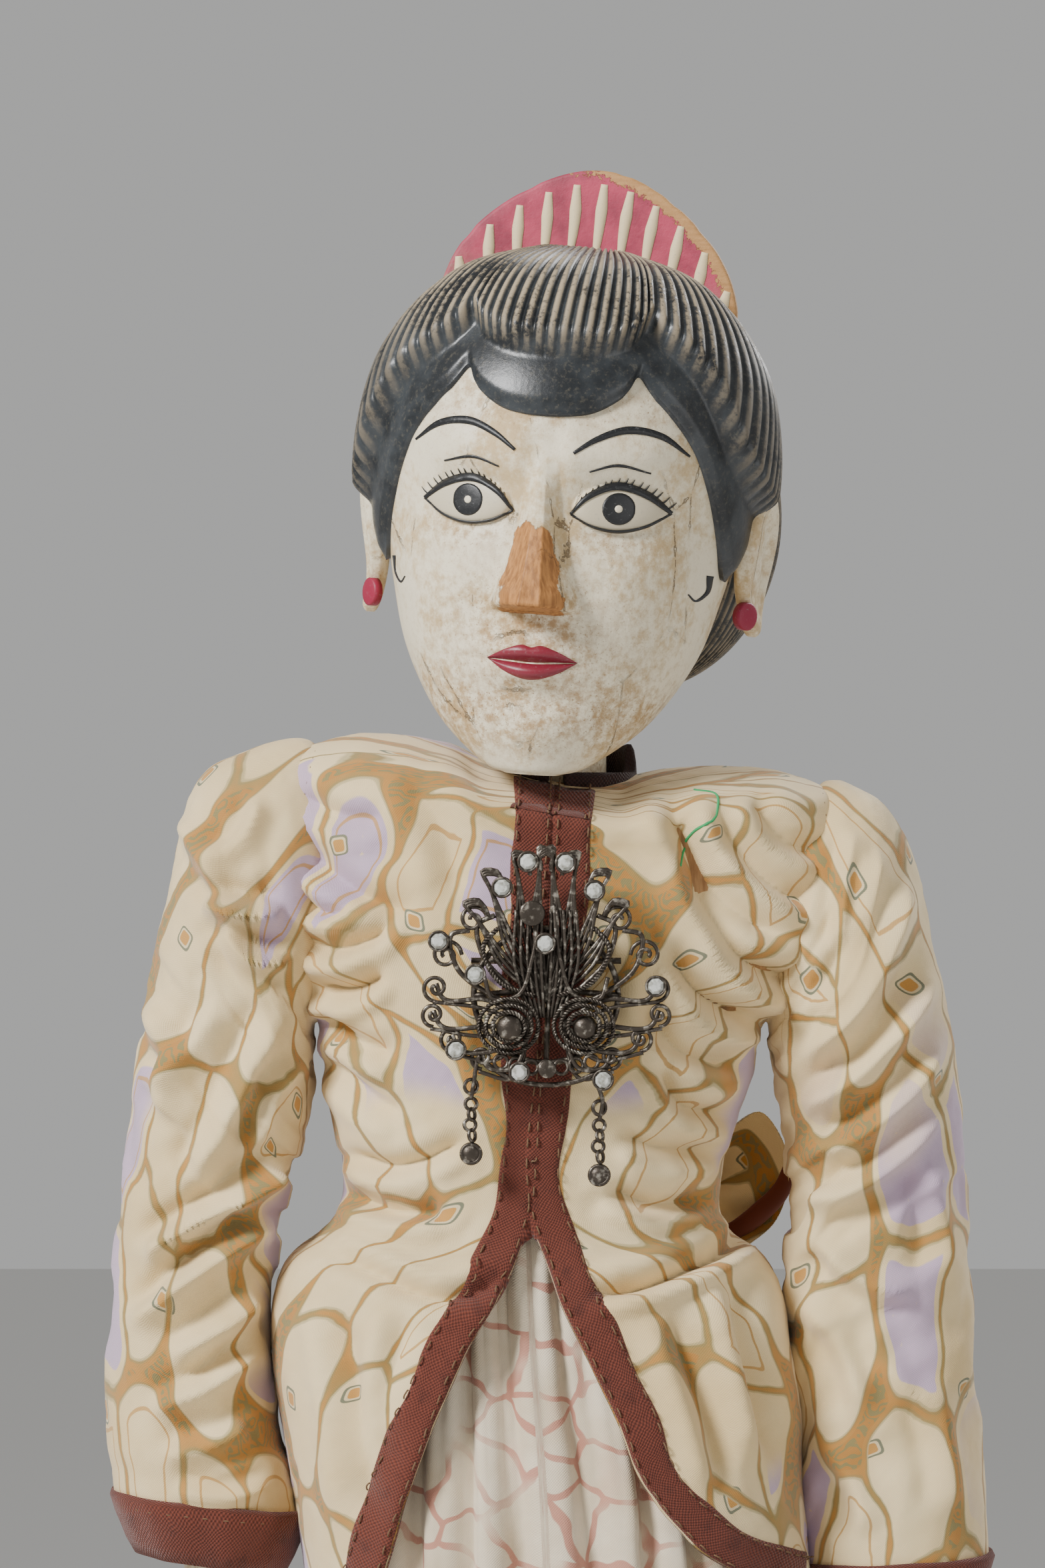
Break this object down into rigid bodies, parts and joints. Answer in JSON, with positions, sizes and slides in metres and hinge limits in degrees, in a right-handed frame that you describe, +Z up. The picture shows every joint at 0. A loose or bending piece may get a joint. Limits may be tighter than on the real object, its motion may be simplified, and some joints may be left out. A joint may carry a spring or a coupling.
{
  "type": "wayang golek rod puppet",
  "caption": "Carved wooden rod puppet of a court lady: head on a central rod, loose torso, cord-jointed arms worked by hand rods, cotton jacket, skirt and wire brooch.",
  "frame": {"origin": "middle of the flat butt of the main rod", "axes": "+Z up along the main rod towards the head, -Y the way the puppet faces, +X its own left"},
  "size_m": [0.1684, 0.0899, 0.6393],
  "materials": {
    "turned_wood": "bare light wood, worn smooth by the hand",
    "washer_leather": "old waxed leather",
    "painted_wood": "cream lime paint over carved wood, aged brown and rubbed through in places",
    "crimson_paint": "crimson paint with cream stripes, worn to bare wood along the edge",
    "skirt_cloth": "soft cream cotton with faded red line print",
    "cord": "twisted plant-fibre cord",
    "printed_cotton": "cream cotton printed with ochre, grey-green and lilac cells",
    "brown_binding": "red-brown coarse woven cotton with running stitch",
    "dark_band": "dark brown cotton band",
    "dark_silver": "tarnished silver wire",
    "paste_stone": "clear cut paste stone, foil backed",
    "bamboo": "polished bamboo"
  },
  "bodies": {
    "rod": {"main_rod": "turned_wood", "head_block": "painted_wood", "crown_comb": "crimson_paint"},
    "washer": {"rod_washer": "washer_leather"},
    "torso": {"torso_block": "turned_wood", "skirt": "skirt_cloth", "waist_tie": "cord", "jacket_back": "printed_cotton", "jacket_front_left": "printed_cotton", "jacket_front_right": "printed_cotton", "front_binding_left": "brown_binding", "front_binding_right": "brown_binding", "neck_band": "dark_band", "brooch_frame": "dark_silver", "brooch_pin": "dark_silver", "brooch_stone_1": "paste_stone", "brooch_stone_2": "paste_stone", "brooch_stone_3": "paste_stone", "brooch_stone_4": "paste_stone", "brooch_stone_5": "paste_stone", "brooch_stone_6": "paste_stone", "brooch_stone_7": "paste_stone", "brooch_stone_8": "paste_stone", "brooch_stone_9": "paste_stone", "brooch_stone_10": "paste_stone", "brooch_stone_11": "paste_stone"},
    "shoulder_knot_left": {"shoulder_cord_left": "cord"},
    "upper_arm_left": {"upper_arm_left": "painted_wood", "sleeve_upper_left": "printed_cotton"},
    "elbow_knot_left": {"elbow_cord_left": "cord"},
    "forearm_left": {"forearm_left": "painted_wood", "sleeve_lower_left": "printed_cotton", "cuff_left": "brown_binding"},
    "hand_knot_left": {"hand_tie_left": "cord"},
    "hand_rod_left": {"hand_rod_left": "bamboo"},
    "brooch_drop_left": {"drop_chain_left": "dark_silver", "drop_stone_left": "dark_silver"},
    "shoulder_knot_right": {"shoulder_cord_right": "cord"},
    "upper_arm_right": {"upper_arm_right": "painted_wood", "sleeve_upper_right": "printed_cotton"},
    "elbow_knot_right": {"elbow_cord_right": "cord"},
    "forearm_right": {"forearm_right": "painted_wood", "sleeve_lower_right": "printed_cotton", "cuff_right": "brown_binding"},
    "hand_knot_right": {"hand_tie_right": "cord"},
    "hand_rod_right": {"hand_rod_right": "bamboo"},
    "brooch_drop_right": {"drop_chain_right": "dark_silver", "drop_stone_right": "dark_silver"}
  },
  "joints": [
    {"name": "torso_lift", "type": "slide", "parent": "rod", "child": "washer", "axis": [0, 0, 1], "range_m": [0, 0.005], "deforming": ["jacket_back", "jacket_front_left", "jacket_front_right", "front_binding_left", "front_binding_right", "neck_band"]},
    {"name": "torso_turn", "type": "hinge", "parent": "washer", "child": "torso", "pos_m": [0, 0, 0.4135], "axis": [0, 0, 1], "range_deg": [-100, 80]},
    {"name": "shoulder_swing_left", "type": "hinge", "parent": "torso", "child": "shoulder_knot_left", "pos_m": [0.054, 0, 0.5045], "axis": [-1, 0, 0], "range_deg": [-30, 90], "deforming": ["sleeve_upper_left"]},
    {"name": "shoulder_raise_left", "type": "hinge", "parent": "shoulder_knot_left", "child": "upper_arm_left", "pos_m": [0.054, 0, 0.5045], "axis": [0, -1, 0], "range_deg": [0, 45]},
    {"name": "elbow_twist_left", "type": "hinge", "parent": "upper_arm_left", "child": "elbow_knot_left", "pos_m": [0.06495, 0, 0.43536], "axis": [-0.1564, 0, 0.9877], "range_deg": [-45, 45], "deforming": ["sleeve_lower_left", "cuff_left"]},
    {"name": "elbow_bend_left", "type": "hinge", "parent": "elbow_knot_left", "child": "forearm_left", "pos_m": [0.06495, 0, 0.43536], "axis": [-1, 0, 0], "range_deg": [0, 100]},
    {"name": "rod_swing_left", "type": "hinge", "parent": "forearm_left", "child": "hand_knot_left", "pos_m": [0.06495, 0, 0.31936], "axis": [0, -1, 0], "range_deg": [-3, 60]},
    {"name": "rod_tilt_left", "type": "hinge", "parent": "hand_knot_left", "child": "hand_rod_left", "pos_m": [0.06495, 0, 0.31936], "axis": [-1, 0, 0], "range_deg": [-60, 75]},
    {"name": "shoulder_swing_right", "type": "hinge", "parent": "torso", "child": "shoulder_knot_right", "pos_m": [-0.054, 0, 0.511], "axis": [-1, 0, 0], "range_deg": [-30, 90], "deforming": ["sleeve_upper_right"]},
    {"name": "shoulder_raise_right", "type": "hinge", "parent": "shoulder_knot_right", "child": "upper_arm_right", "pos_m": [-0.054, 0, 0.511], "axis": [0, 1, 0], "range_deg": [0, 45]},
    {"name": "elbow_twist_right", "type": "hinge", "parent": "upper_arm_right", "child": "elbow_knot_right", "pos_m": [-0.06495, 0, 0.44186], "axis": [-0.1564, 0, -0.9877], "range_deg": [-45, 45], "deforming": ["sleeve_lower_right", "cuff_right"]},
    {"name": "elbow_bend_right", "type": "hinge", "parent": "elbow_knot_right", "child": "forearm_right", "pos_m": [-0.06495, 0, 0.44186], "axis": [-1, 0, 0], "range_deg": [0, 100]},
    {"name": "rod_swing_right", "type": "hinge", "parent": "forearm_right", "child": "hand_knot_right", "pos_m": [-0.06495, 0, 0.32586], "axis": [0, 1, 0], "range_deg": [-3, 60]},
    {"name": "rod_tilt_right", "type": "hinge", "parent": "hand_knot_right", "child": "hand_rod_right", "pos_m": [-0.06495, 0, 0.32586], "axis": [-1, 0, 0], "range_deg": [-60, 75]},
    {"name": "drop_swing_left", "type": "hinge", "parent": "torso", "child": "brooch_drop_left", "pos_m": [0.0093, -0.0331, 0.4585], "axis": [0, 1, 0], "range_deg": [-40, 40]},
    {"name": "drop_swing_right", "type": "hinge", "parent": "torso", "child": "brooch_drop_right", "pos_m": [-0.0146, -0.0331, 0.4625], "axis": [0, 1, 0], "range_deg": [-40, 40]}
  ]
}
